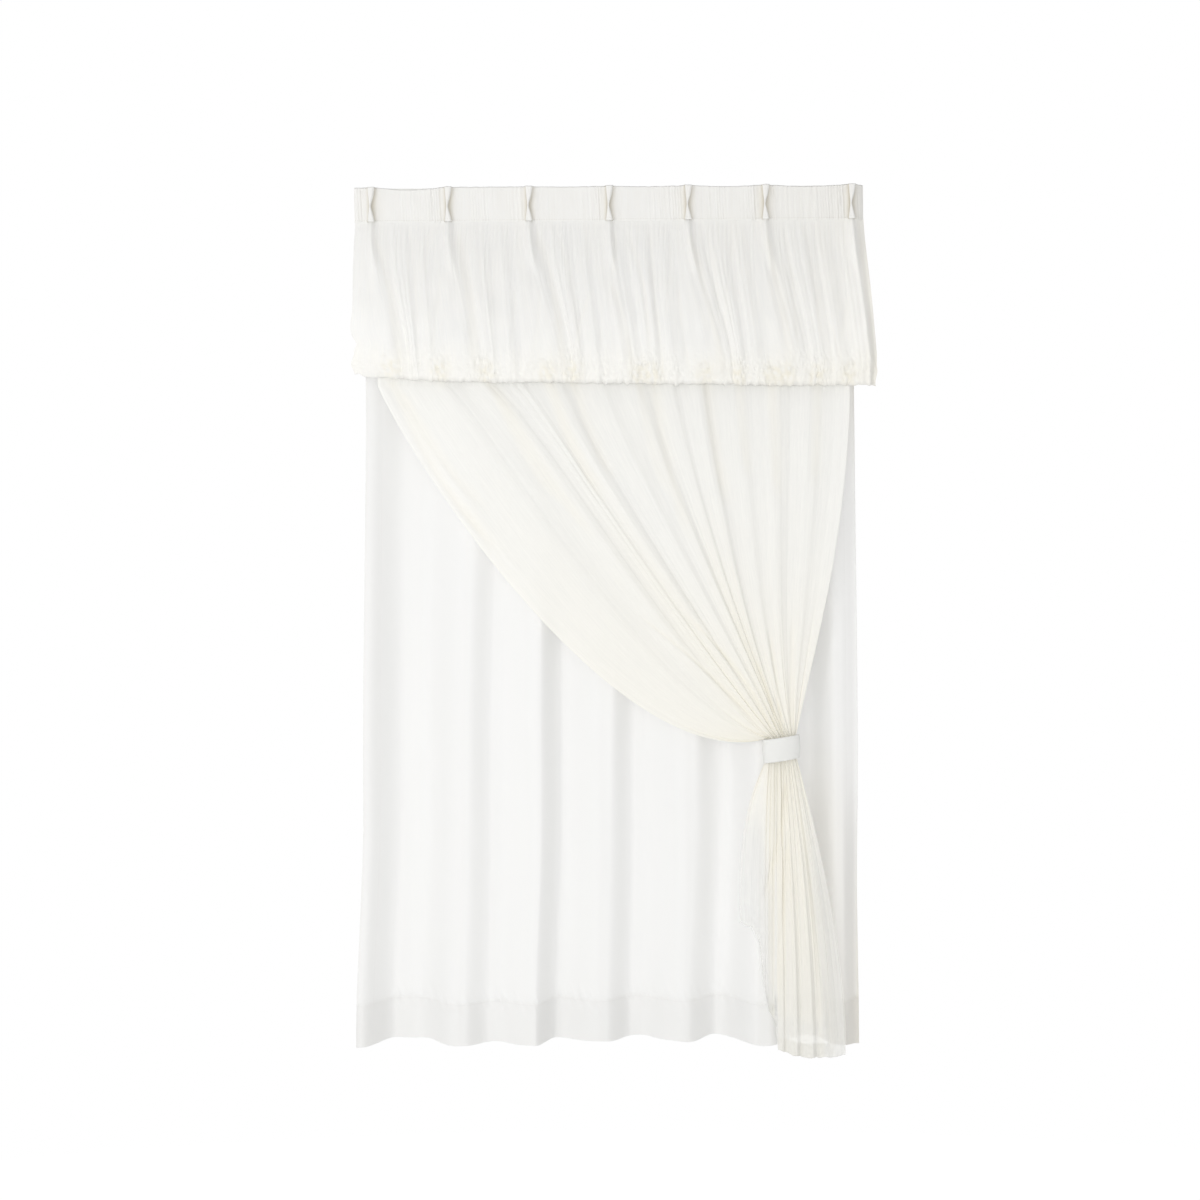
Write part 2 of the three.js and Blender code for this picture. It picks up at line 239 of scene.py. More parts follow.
# %% The heading's sizes
HALF_WIDTH = 520
TURNED_END = 535
END_TURN = 14
FOLDED_THICK = 1.1
LOOP_POINTS, LEFT_POINTS, FLAT_POINTS, LAST_POINTS = 31, 26, 92, 14
HEADING_HEIGHT = 73
PLEAT_MARGIN = 11
pleats = table_of(
    "x sag lean gather lift",
    (-485, 5, 54, 1.1, 13),
    (-326, 0, 42, 0.85, 6),
    (-159, 1, 58, 1.15, 3),
    (7, 1.5, 28, 0.8, 0),
    (170, 2.5, 55, 1.05, -3),
    (330, 3.5, 42, 0.95, -6),
    (508, 0, 8, 1, -6),
)
pleat_x = np.array([pleat["x"] for pleat in pleats])
# The loop's half width, how far it stands out, the dent down its middle and its drift to the left.
loop_levels = table_of(
    "z half out dent drift",
    (0, 8.2, 19, 1.6, -0.6),
    (-20, 5.6, 18, 0.8, 0),
    (-42, 2.1, 16, 0, 1.4),
    (-56, 4.6, 16, 0.8, 0.6),
    (-HEADING_HEIGHT, 8, 16.5, 2, -0.4),
)


def heading_turn(x):
    """How far the heading's far end has turned back towards the wall at x."""
    return END_TURN * share(x, pleat_x[-1] + PLEAT_MARGIN, TURNED_END)


def nearest_pleat(x):
    """Signed distance to the nearest pleat."""
    gaps = np.asarray(x)[..., None] - pleat_x
    return np.take_along_axis(gaps, np.abs(gaps).argmin(-1)[..., None], -1)[..., 0]


# %% Lay out the heading as seen from above
def loop(z):
    """A pleat's loop, from its left root round its front to its right root, for each level."""
    names = ("half", "out", "dent", "drift")
    half, out, dent, drift = (curve(loop_levels, "z", name, z) for name in names)
    line = []
    for turn in np.radians(np.linspace(-152, 152, LOOP_POINTS)):
        x = half * np.sin(turn)
        y = -0.55 * out - 0.45 * out * np.cos(turn)
        line.append((x - drift, y + dent * hump(np.sin(turn), 0.45) * (np.cos(turn) > 0)))
    return line


def heading_points(depth):
    """The heading's section at every depth below its top edge, from left to right, and how much painted
    shade each column takes: in a pleat's roots and sides, just right of it, and towards the right end."""
    z = -depth
    columns, tucks = [], []
    for x in np.linspace(-HALF_WIDTH, pleat_x[0] - PLEAT_MARGIN, LEFT_POINTS):
        columns.append([np.full_like(z, x), 0 * z, z])
        tucks.append(0.0)
    for k, pleat in enumerate(pleats):
        for dx, y in loop(z):
            columns.append([pleat["x"] + dx, y, z + 0.13 * y * share(depth, 30, 0)])
            # Painted shade: the loop's roots and sides are darkened, as the shade where it leaves the
            # flat.
            root, side = share(y.mean(), -11, -5), share(np.abs(dx).mean(), 4.4, 5.4)
            tucks.append(max(float(root), 1.2 * float(side)))
        start = pleat["x"] + PLEAT_MARGIN
        last = k == len(pleats) - 1
        end = TURNED_END if last else pleats[k + 1]["x"] - PLEAT_MARGIN
        for t in np.linspace(0, 1, LAST_POINTS if last else FLAT_POINTS):
            x = mix(start, end, t)
            sag = pleat["sag"] * np.sin(np.pi * t) * share(depth, 45, 0)
            columns.append([np.full_like(z, x), np.full_like(z, heading_turn(x)), z - sag])
            # Painted shade: a tan shadow just right of each pleat, and a darkening towards the right end,
            # where less light falls.
            tucks.append(0.4 * float(hump(nearest_pleat(x) - 2, 10)) + 0.12 * float(share(x, 60, 520)))
    return np.moveaxis(np.array(columns), 1, 2), np.array(tucks)


heading_depth = np.linspace(0, HEADING_HEIGHT, 34)
heading_grid, heading_painted_shade = heading_points(heading_depth)
print("heading grid:", heading_grid.shape[:2])

# %% [markdown]
# Gathering leaves fine upright ridges in the flats, sharpest where the cloth is pushed towards a pleat
# from the left. They are pressed into the front only as far as the strip's stiffening lets them.

# %% Gather the heading
def gathered_heading(grid):
    x, y, z = np.moveaxis(grid, 2, 0).copy()
    to_pleat = nearest_pleat(x)
    flat = share(np.abs(to_pleat), 9, 16)
    crowded = 0.35 + 1.1 * hump(to_pleat + 24, 20) + 0.5 * share(x, 150, 520)
    crowded += 0.3 * ripple(x, 16, 60, 160)
    slant = x + 0.05 * z
    gathers = ripple(slant, 12, 5, 11) + 0.8 * ripple(x - 0.03 * z, 13, 11, 26)
    y += flat * crowded * gathers * 0.6
    y += 0.5 * flat * crumple(x, z * 0.5, 14, 24, 70)
    z += 0.3 * ripple(x, 15, 9, 40) * share(z, -10, 0)
    return np.stack([x, y, z], axis=2)


heading_front = gathered_heading(heading_grid)
heading_back = heading_front[:, 1:] - FOLDED_THICK * facing(heading_front)[:, 1:]
heading_whole = np.concatenate([heading_front[:, ::-1], heading_back], axis=1)
cloth("heading", heading_whole, "heading_band", "heading_cloth", crowding=heading_painted_shade[:, None])

# %% [markdown]
# ## The plain panel at the back
#
# A heavy enough cloth falls in rounded upright folds. The table gives each fold's forward ridge and the
# hollow to its right, as they stand at the hem, and how far the fold drifts sideways higher up. The cloth
# is lined up with the heading at its top and opens out into its folds below. Blender's cloth simulation
# would settle folds somewhere else each time the grid changed, so they are listed instead.

# %% The panel's folds
PANEL_DROP = 1775
HEM_HEIGHT = 88
HIGH, LOW = -417, -1270
FOLD_START = -80
PANEL_BEHIND = 3.7
PANEL_TOP = (-519, 511)
PANEL_FACETS = 26
panel_folds = table_of(
    "ridge_x ridge_y drift_high drift_low hollow_x hollow_y",
    (-527, -20, 27, 18, -408, 71),
    (-315, -17, 29, 10, -240, 23),
    (-159, -23, 21, 16, -114, 60),
    (-26, 14, 33, 10, 54, 73),
    (151, 9, 21, 16, 229, 76),
    (315, -30, 5, 5, 415, 63),
    (516, -20, -2, -2),
)
# A fold doesn't ease evenly from ridge to hollow: it falls back in one part of that leg, given here as
# shares of it, and lies nearly flat on either side.
EDGE_CURL = 44
PANEL_MIDDLE = 22
falls = [(0.08, 0.62), (0.15, 0.8), (0, 1), (0.2, 0.85), (0.1, 0.9), (0.1, 0.9)]
# It comes forward again in the first part of the next leg, given in the same way.
rises = [1, 1, 1, 1, 0.85, 0.5]


def panel_lines(z):
    """Each ridge's and hollow's x at every level, and its y."""
    lines = []
    for fold in panel_folds:
        above = mix(fold["drift_low"], fold["drift_high"], ease(z, LOW, HIGH))
        below = mix(0, fold["drift_low"], ease(z, -PANEL_DROP, LOW))
        drift = np.where(z > LOW, above, below)
        for kind in ("ridge", "hollow"):
            if kind + "_x" in fold:
                lines.append((fold[kind + "_x"] + drift, fold[kind + "_y"]))
    return lines


def panel_points(z):
    """The panel's grid: PANEL_FACETS columns from each ridge to the next hollow."""
    lines = panel_lines(z)
    open_out = ease(z, FOLD_START, HIGH)
    deepen = mix(0.3, 0.8, ease(z, -330, -1050)) + 0.15 * ease(z, -1450, -PANEL_DROP)
    grid = []
    for column in range((len(lines) - 1) * PANEL_FACETS + 1):
        leg = min(column // PANEL_FACETS, len(lines) - 2)
        along = column / PANEL_FACETS - leg
        (ax, ay), (bx, by) = lines[leg], lines[leg + 1]
        hung = mix(PANEL_TOP[0], PANEL_TOP[1], column / PANEL_FACETS / (len(lines) - 1))
        x = mix(hung, mix(ax, bx, along), open_out)
        back = ease(along, *falls[leg // 2]) if leg % 2 == 0 else smooth(along / rises[leg // 2])
        y = mix(PANEL_BEHIND, mix(PANEL_MIDDLE, mix(ay, by, back), deepen), open_out)
        curl = mix(0.22, 1, ease(z, -1150, -1500)) * ease(z, -300, -440)
        y = y + EDGE_CURL * ease(x, 478, 512) * curl
        grid.append(np.stack([x, y, z], axis=1))
    return np.array(grid)


HEM_TOP = HEM_HEIGHT - PANEL_DROP
NEAR_HEM = HEM_TOP + 40
hung_part, middle_part = np.linspace(-2, HIGH, 24), np.linspace(HIGH, NEAR_HEM, 70)
panel_z = np.concatenate([hung_part[:-1], middle_part[:-1], np.linspace(NEAR_HEM, -PANEL_DROP, 44)])
panel_grid = panel_points(panel_z)
print("panel grid:", panel_grid.shape[:2])

# %% [markdown]
# The hem is the cloth turned up 88 mm and sewn along its top. The row of stitches draws the cloth in a
# little, which leaves short puckers above and below the line. The turned-up part is the grid's own lower
# rows, laid behind, so the hem reads denser than the single cloth above it, as a real one does.

# %% Pucker and turn up the hem
SIDE_HEM = 7


def finished_panel(grid):
    x, y, z = np.moveaxis(grid, 2, 0).copy()
    hanging = share(z, FOLD_START, HIGH)
    y += hanging * 1.3 * ripple(x + 6 * ripple(z, 21, 300, 900), 22, 40, 120)
    y += hanging * 0.7 * crumple(x, z * 0.3, 23, 50, 160)
    line = z - HEM_TOP
    puckers = ripple(x + 0.35 * line, 24, 14, 34) * hump(line, 22)
    puckers = puckers + ripple(x, 25, 7, 14) * 0.5 * hump(line, 8)
    y += 1.1 * puckers + 1.0 * hump(line, 2.5) - 0.5 * hump(line + 5, 4)
    columns = np.arange(len(grid))
    from_side = np.minimum(columns, columns[::-1])[:, None]
    y += 0.9 * hump(from_side - SIDE_HEM, 0.8) - 0.3 * hump(from_side - SIDE_HEM + 2, 1)
    low = share(-z, PANEL_DROP - HEM_HEIGHT, PANEL_DROP)
    z -= low * (1.2 * ripple(x, 26, 60, 200) + 11 * ease(x, 470, 515))
    return np.stack([x, y, z], axis=2)


panel_front = finished_panel(panel_grid)
hem_rows = int((panel_z < HEM_TOP).sum())
panel_whole = panel_front
for side in range(2):
    panel_whole = turned(panel_whole[::-1], 1, 0.7, 0)
panel_whole = turned(panel_whole, hem_rows, 1.4, 1)
panel_x, _, panel_down = np.moveaxis(panel_whole, 2, 0)
# This field deepens the panel's colour. Low on the right, beside the tail, it is painted warm shade, and
# high on the right edge, beside the sheer, it is a painted shadow strip. It also adds a faint cream
# towards the left edge and over the hem.
handled = share(panel_x, 450, 520) * share(panel_down, -1250, -1650) + 0.03 * share(panel_x, -470, -525)
handled += 0.03 * ease(panel_down, HEM_TOP + 2, HEM_TOP - 2)
handled += 0.5 * hump(panel_x - 440, 50) * ease(panel_down, -1080, -1320)
handled += 0.6 * share(panel_x, 488, 500) * share(panel_down, -620, -420)
cloth("plain_panel", panel_whole, "back_panel", "panel_cloth", handled=handled)

# %% [markdown]
# ## The drawn sheer
#
# One wide, fine cloth hangs from the heading, is drawn sideways through the tie, and falls free below it.
# Its threads show the way: each runs down from the heading, swings over to the tie on a Bezier curve, and
# drops to the hem. Only seven threads are set out, and the rest lie between them. The longest road to the
# tie is along the left edge, so that edge's hem ends highest below it.
#
# A cloth simulation could gather the sheer, but it needs a cloth of millions of points for folds this
# fine. Here each pleat of the heading starts a large fold, with a smaller one beside it, and all of them
# narrow until they meet in the tie. A fold falls steeply on its right side, where the light from the
# left doesn't reach.

# %% The sheer's threads and folds
guides = table_of(
    "u x x1 z1 x2 z2 tie_x flare",
    (0, -467, -418, -542, 0, -1212, 318, 3),
    (0.19, -250, -122, -540, 146, -1020, 329, 2.6),
    (0.35, -114, -48, -560, 187, -918, 339, 2.3),
    (0.5, 52, 95, -571, 248, -898, 350, 2),
    (0.65, 185, 208, -571, 258, -898, 360, 1.9),
    (0.81, 340, 348, -571, 330, -898, 371, 1.8),
    (1, 494, 494, -653, 438, -898, 383, 1.8),
)
TIE = {"x": 350, "y": -58, "z": -1163, "height": 48, "slope": 0.15, "half_width": 37, "half_depth": 18}
swag_turns = table_of(
    "u open tied",
    (0, -7, 2),
    (0.045, -8, -5),
    (0.11, 4, 7),
    (0.15, -6, -8),
    (0.19, 10, 9),
    (0.235, -4, -9),
    (0.28, 0, 10),
    (0.315, -5, -10),
    (0.35, 10, 11),
    (0.395, -6, -11),
    (0.44, 6, 12),
    (0.47, -1, -12),
    (0.505, 8, 12),
    (0.545, -8, -12),
    (0.58, 4, 11),
    (0.615, -4, -11),
    (0.65, 9, 10),
    (0.695, -9, -10),
    (0.735, 2, 9),
    (0.77, -6, -9),
    (0.81, 9, 8),
    (0.86, -7, -7),
    (0.91, 4, 5),
    (0.955, -5, -4),
    (1, 6, 1),
)
TOP_HALF = 511
SWAG_BEHIND = 1.9
SWAG_Y = -47
# The hem below the tie falls in steps: the first hand's breadth of cloth hangs by itself on the left,
# and the rest crowds behind it and falls in four soft folds.
hem_steps = table_of(
    "u hem_x hem_z",
    (0, 266, -1518),
    (0.045, 288, -1528),
    (0.065, 302, -1560),
    (0.11, 310, -1640),
    (0.18, 320, -1698),
    (0.33, 333, -1714),
    (0.38, 338, -1775),
    (0.43, 346, -1778),
    (0.5, 356, -1782),
    (0.65, 388, -1792),
    (0.81, 425, -1794),
    (0.95, 457, -1793),
    (1, 480, -1790),
)
tail_turns = table_of(
    "u forward",
    (0, 2),
    (0.04, -2),
    (0.12, 8),
    (0.31, -10),
    (0.43, 7),
    (0.5, -3),
    (0.58, 11),
    (0.65, -9),
    (0.73, 9),
    (0.82, -13),
    (0.9, 7),
    (1, 3),
)
ROUND = 13
# The creases that show most: those that start in the valance's bunches, five that run into the tie, and
# three that fan out below it.
sheer_creases = table_of(
    "x z to_x to_z bow deep wide",
    (-438, -405, -240, -740, -22, 3.1, 14),
    (-414, -430, -262, -660, -14, 2.1, 13),
    (-242, -405, -110, -650, -10, 2.9, 14),
    (-222, -425, -40, -720, -10, 2.3, 13),
    (-121, -405, -18, -640, -8, 3.1, 15),
    (-69, -405, 4, -600, -6, 2.3, 13),
    (65, -405, 116, -640, -5, 2.6, 14),
    (96, -405, 158, -720, -6, 2.3, 13),
    (200, -405, 240, -650, -4, 2.9, 14),
    (268, -405, 288, -600, -2, 2.1, 13),
    (334, -405, 345, -640, 0, 2.6, 14),
    (427, -405, 424, -620, 0, 2.3, 13),
    (74, -898, 300, -1108, 10, 2.2, 6),
    (166, -898, 333, -1132, 20, 2.5, 6),
    (302, -989, 339, -1132, 6, 1.8, 5),
    (329, -930, 350, -1132, 2, 1.8, 5),
    (376, -898, 371, -1132, 0, 1.5, 5),
    (357, -1240, 312, -1472, 7, 4, 7),
    (359, -1360, 335, -1680, 0, 3, 6),
    (402, -1340, 449, -1790, 4, 5, 8),
)
# Places along the valance's hem where its drawing thread has bunched the cloth most.
bunches = [-438, -338, -245, -121, -69, 65, 96, 200, 268, 334, 365, 427, 490]
print("threads set out:", len(guides), "folds:", len(swag_turns) // 2)


def tie_level(x, down):
    """Height of the tie's slanting edge at x, `down` below its middle."""
    return TIE["z"] - down + TIE["slope"] * (x - TIE["x"])


def bezier(a, b, c, d, t):
    s = 1 - t
    return s**3 * a + 3 * s * s * t * b + 3 * s * t * t * c + t**3 * d


def creased(x, z, table):
    """How far a table's creases press the cloth back, with the soft ridge that each throws up."""
    pressed = np.zeros_like(x)
    for c in table:
        t = (c["z"] - z) / (c["z"] - c["to_z"])
        middle = mix(c["x"], c["to_x"], t) + c["bow"] * np.sin(np.pi * np.clip(t, 0, 1))
        fade = ease(t, -0.08, 0.12) * ease(t, 1.12, 0.85)
        trough = hump(x - middle, c["wide"]) - 0.45 * hump(x - middle + 1.7 * c["wide"], 1.3 * c["wide"])
        pressed += c["deep"] * fade * trough
    return pressed


# %% Run the threads
def thread_roads(u, parts):
    """Every thread's road in the plane of the window, and how open, tied or fallen it is along it."""
    guide = {name: curve(guides, "u", name, u)[:, None] for name in guides[0] if name != "u"}
    hang_z, draw_t, wrap_t, fall_t = parts
    open_out = ease(hang_z, FOLD_START, HIGH)
    top = mix(-TOP_HALF, TOP_HALF, u)[:, None]
    for name in ("hem_x", "hem_z"):
        guide[name] = np.interp(u, *rows(hem_steps, "u", name))[:, None]
    waist = guide["tie_x"]
    above, below = tie_level(waist, -TIE["height"] / 2), tie_level(waist, TIE["height"] / 2)
    hang_x = mix(top, guide["x"], open_out)
    draw_x = bezier(guide["x"], guide["x1"], guide["x2"], waist, draw_t)
    draw_z = bezier(HIGH, guide["z1"], guide["z2"], above, draw_t)
    fall_x = mix(waist, guide["hem_x"], 1 - (1 - fall_t) ** guide["flare"])
    fall_z = mix(below, guide["hem_z"], fall_t)
    ones = np.ones_like(u)[:, None]
    x = np.hstack([hang_x, draw_x, waist + 0 * wrap_t, fall_x])
    z = np.hstack([ones * hang_z, draw_z, mix(above, below, wrap_t), fall_z])
    stage = np.concatenate([open_out, 1 + draw_t, 2 + 0 * wrap_t, 2 + fall_t])
    return x, z, ones * stage


SWAG_COLUMNS = 470
swag_u = np.linspace(0, 1, SWAG_COLUMNS)
swag_parts = (
    np.linspace(-2, HIGH, 16)[:-1],
    1 - (1 - np.linspace(0, 1, 104)[:-1]) ** 1.25,
    np.linspace(0, 1, 9)[:-1],
    np.linspace(0, 1, 74) ** 1.15,
)
swag_x, swag_z, swag_stage = thread_roads(swag_u, swag_parts)
print("sheer grid:", swag_x.shape)

# %% [markdown]
# The large folds come from the tables. Over them lie finer ones, closer than the eye can count near the
# tie. They grow shallower as the cloth is drawn together, and stronger in the tail, where they are the
# creases that the tie has pressed into it. Only the bottom edge is turned up as a hem.

# %% Fold the sheer
CUT_WIDTH = 1500
TUCKS = 12
TUCK_DEPTH = 1.8
STEEP = 0.8
HIDDEN_DEPTH, HIDDEN_BACK = 14, 9


def tucked(u, stage):
    """Narrow tucks that the tie has pressed deep into the cloth. Each starts somewhere above the tie and
    dies out somewhere below it."""
    draw = np.random.default_rng(34)
    fallen = share(stage, 2, 3)
    total = np.zeros_like(stage)
    for place in (np.arange(TUCKS) + draw.uniform(0.2, 0.8, TUCKS)) / TUCKS:
        start, kept = draw.uniform(1.3, 1.8), draw.uniform(0.1, 0.75)
        strength = ease(stage, start, 2.0) * mix(1, kept, smooth(fallen / 0.8))
        total = np.maximum(total, hump(u - place, 0.0065)[:, None] * strength)
    return total


def swag_heights(u, stage):
    """How far each point stands forward of the sheer's middle, for large folds and for fine ones."""
    across = u[:, None] * np.ones_like(stage)
    wide = 0.5 * turns(swag_turns, "u", "open", across, STEEP)
    tied = 0.16 * turns(swag_turns, "u", "tied", across, STEEP)
    tail = 0.5 * turns(tail_turns, "u", "forward", across, STEEP)
    drawn, fallen = share(stage, 1, 2), share(stage, 2, 3)
    body = np.where(stage <= 2, mix(wide, tied, drawn**2), mix(tied, tail, smooth(fallen)))
    opened = np.clip(stage, 0, 1)
    fine_a = ripple(across * CUT_WIDTH, 31, 16, 34, 18)
    fine_b = ripple(across * CUT_WIDTH, 32, 26, 60, 18)
    spread = 0.12 - 0.06 * drawn**3
    calm = 1 - 0.85 * share(across, 0.24, 0.12) * smooth(fallen / 0.3)
    wander = 1 + 0.35 * ripple(stage * 600, 33, 200, 500)
    fine = fine_a * spread + fine_b * 0.36 * wander * (1 - 0.65 * drawn**2) * (1 + 0.9 * fallen)
    # Behind the valance, closer and deeper ripples take up width. They stop short of the panel.
    hidden = np.maximum(HIDDEN_DEPTH * ripple(across * CUT_WIDTH, 35, 18, 34), -HIDDEN_BACK)
    hidden = hidden * ease(stage, 0, 0.3) * share(stage, 1, 0.8)
    return body * opened, calm * fine * opened + hidden


swag_large, swag_fine = swag_heights(swag_u, swag_stage)
swag_tucks = tucked(swag_u, swag_stage)
swag_creased = creased(swag_x, swag_z, sheer_creases)


def folded_swag():
    """Stands the folds forward, and leans each one over to the right."""
    height = swag_large + swag_fine - swag_creased
    height = height + ROUND * (0.3 - (2 * swag_u[:, None] - 1) ** 2) * ease(swag_stage, 1.5, 2)
    middle = np.where(
        swag_stage <= 1,
        mix(SWAG_BEHIND, SWAG_Y, np.clip(swag_stage, 0, 1)),
        mix(SWAG_Y, TIE["y"], smooth(swag_stage - 1)),
    )
    # The sheer comes a little forward, towards the valance's hem, but stays clear of it.
    middle = middle - 7 * hump(swag_z + 420, 90) * smooth(swag_stage)
    across_x, across_z = np.gradient(swag_x, axis=0), np.gradient(swag_z, axis=0)
    size = np.maximum(np.hypot(across_x, across_z), 1e-6)
    in_tie = hump(swag_stage - 2, 0.12)
    lean = 0.34 * height * np.clip(swag_stage, 0, 1) * (1 - 0.5 * in_tie)
    x = swag_x + lean * across_x / size
    z = swag_z + lean * across_z / size
    in_hem = ease(swag_stage, 2.8, 2.95)
    height = height + 1.3 * crumple(x, z, 36, 12, 30) * in_hem
    z = z + 1.2 * ripple(x, 37, 16, 40) * share(swag_stage, 2.9, 3)
    x = x - 0.15 * TUCK_DEPTH * swag_tucks
    y = middle - height + TUCK_DEPTH * swag_tucks
    return np.stack([x, y, z], axis=2)


swag_open = folded_swag()
HEM_ROWS = 3
swag_hemmed = turned(swag_open, HEM_ROWS, 0.8, 1)
print("sheer with its hem:", swag_hemmed.shape[:2])

# %% [markdown]
# A sheer looks denser where its folds crowd together and clearer where few layers lie over each other.
# Real gathers lie many layers deep, and the mesh's folds overlap far less. So each point carries two
# fields that the material reads. The first makes its yarn deeper and closer where the cloth crowds, and
# also carries painted shade in its creases, tucks and folds. The field "thin" opens it, and the material
# paints it greyer there, as shade.

# %% Say where the sheer is crowded or thin
def sheer_density(u, stage):
    """How crowded and how thin the sheer looks, with the shade painted into it, along each thread u and at
    each stage of its road.
    """
    spacing = np.hypot(np.gradient(swag_x, axis=0), np.gradient(swag_z, axis=0))
    crowding = share(spacing, 1.7, 0.14) ** 1.15 * mix(0.2, 1, ease(stage, 1.2, 1.75))
    # Only that much is the cloth's own: more layers of cream sheer look deeper. Most of what is added
    # below is painted shade: in the tucks, just below the tie, over the lower tail, on the left of the
    # drawn cloth above the tie, in the creases, over the whole tail and in three bands down its folds.
    crowding = np.clip(crowding + 0.25 * swag_tucks, 0, 1)
    crowding = np.maximum(crowding, 0.5 * hump(stage - 2.15, 0.35))
    crowding += 0.15 * ease(stage, 2.3, 2.8) * share(u, 0.2, 0.35)
    crowding += 0.5 * share(u, 0.38, 0) * ease(stage, 1.2, 1.7) * (stage < 2)
    crowding -= 0.25 * share(stage, 2.86, 2.9)
    crowding += 0.18 * swag_creased * (swag_creased > 0)
    crowding = crowding * mix(1, 0.65, share(stage, 2.4, 2.9)) + 0.13 * ease(stage, 2.2, 2.5)
    for at, wide in ((0.2, 0.02), (0.43, 0.03), (0.82, 0.03)):
        crowding += 0.4 * hump(u - at, wide) * hump(stage - 2.5, 0.35) * (stage > 2)
    # Where the valance's drawing thread has bunched it, the sheer just below is painted deeper: partly as
    # denser cloth caught up with it, partly as the shade under the bunch.
    crowding += 0.5 * sum(hump(swag_x - at, 10) for at in bunches) * hump(swag_z + 404, 16)
    # Fewer layers lie over each other at the tail's left and right edges and near its hem, so it is opened
    # there, and the material paints it greyer there, as shade.
    fallen = ease(stage, 2.02, 2.5)
    thin = 2.4 * share(u, 0.16, 0.02) * share(stage, 2.25, 2.75)
    thin = fallen * (thin + 1.4 * share(u, 0.34, 0.1) * share(stage, 2.1, 2.6) + 2.2 * ease(u, 0.83, 0.9))
    return crowding, thin + fallen * (0.6 * share(stage, 2.2, 2.9) + 0.3 * share(stage, 2.86, 2.9))


hem_added = ((0, 0), (0, HEM_ROWS + 3))
density = sheer_density(swag_u[:, None], swag_stage)
crowding, thin = (np.pad(field, hem_added, mode="reflect") for field in density)
cloth("drawn_sheer", swag_hemmed, "swag_sheer", "swag_cloth", crowding=crowding, thin=thin)

# %% [markdown]
# ## The balloon valance
#
# The valance is a short, full cloth. It is gathered into the bottom of the heading, blows forward as it
# falls, and turns under at its hem, where it is drawn up on a thread and crumples. Its profile is a short
# table from top to turned-under edge. Across it, each pleat above starts a fold that leans to the right,
# and between them the cloth is crossed by long soft creases. Those are listed one by one, because they are
# what makes this valance look like itself; the finer gathers between them come from the ripples.

# %% The valance's profile and creases
SEAM_GAP = 0.4
VALANCE_DROP = 418
valance_levels = table_of(
    "z front out fold",
    (3 - HEADING_HEIGHT, -0.6, 0, 0),
    (-HEADING_HEIGHT - SEAM_GAP, 0, 0, 0),
    (-95, 8, 0, 0.35),
    (-150, 32, 0.1, 0.8),
    (-230, 62, 0.4, 1),
    (-310, 82, 0.75, 1),
    (-375, 86, 1, 0.9),
    (-405, 77, 1, 0.6),
    (-VALANCE_DROP, 69, 0.95, 0.3),
    (-410, 64, 0.9, 0.1),
    (-375, 64, 0.85, 0),
)
FLARE_LEFT, FLARE_RIGHT = 6, 13
RIDGE = 7
PLEAT_BULGE = 11
RETURN_BACK = 0.2
span_folds = table_of(
    "at forward",
    (0, RIDGE),
    (0.08, 2),
    (0.2, -9),
    (0.3, 4),
    (0.42, 7),
    (0.53, -4),
    (0.66, 6),
    (0.78, -3),
    (0.9, 5),
    (1, RIDGE),
)
# Each crease runs from a point high on the valance to one lower down: where it starts and ends, how far
# it bows to the right on its way, how deep it is and how wide.
creases = table_of(
    "x z to_x to_z bow deep wide",
    (-474, -110, -420, -385, 10, 6, 9),
    (-405, -95, -384, -350, 6, 2.6, 5),
    (-360, -80, -368, -190, -4, 2.4, 4),
    (-340, -200, -354, -355, 2, 3, 5),
    (-308, -95, -268, -370, 8, 7, 11),
    (-256, -85, -258, -190, 0, 2.2, 4),
    (-186, -220, -192, -340, 0, 3, 4),
    (-140, -90, -150, -180, 3, 3.2, 5),
    (-136, -110, -91, -385, 9, 6, 9),
    (-132, -205, -148, -355, 2, 3, 5),
    (-104, -85, -72, -230, 4, 2.6, 5),
    (-30, -225, -66, -350, -4, 3.4, 5),
    (-10, -250, -12, -350, 0, 2.4, 4),
    (18, -95, 12, -190, 3, 5, 6),
    (14, -215, 52, -385, 2, 4.5, 7),
    (42, -90, 84, -370, 14, 4, 6),
    (94, -90, 112, -365, -6, 3, 5),
    (132, -90, 120, -280, 4, 2.6, 4),
    (148, -220, 166, -385, -5, 4, 6),
    (170, -100, 232, -395, 4, 6, 9),
    (206, -90, 232, -325, 4, 3, 5),
    (262, -120, 238, -310, -3, 2.6, 4),
    (328, -100, 370, -375, 2, 6.5, 9),
    (368, -90, 386, -355, 4, 3.2, 5),
    (412, -85, 432, -345, 3, 3, 5),
    (440, -85, 444, -150, 0, 2.2, 4),
    (452, -300, 474, -380, 0, 3.4, 6),
    (488, -255, 478, -330, 0, 2.8, 5),
    (530, -310, 526, -405, 0, 3, 5),
)
print("creases set out:", len(creases))


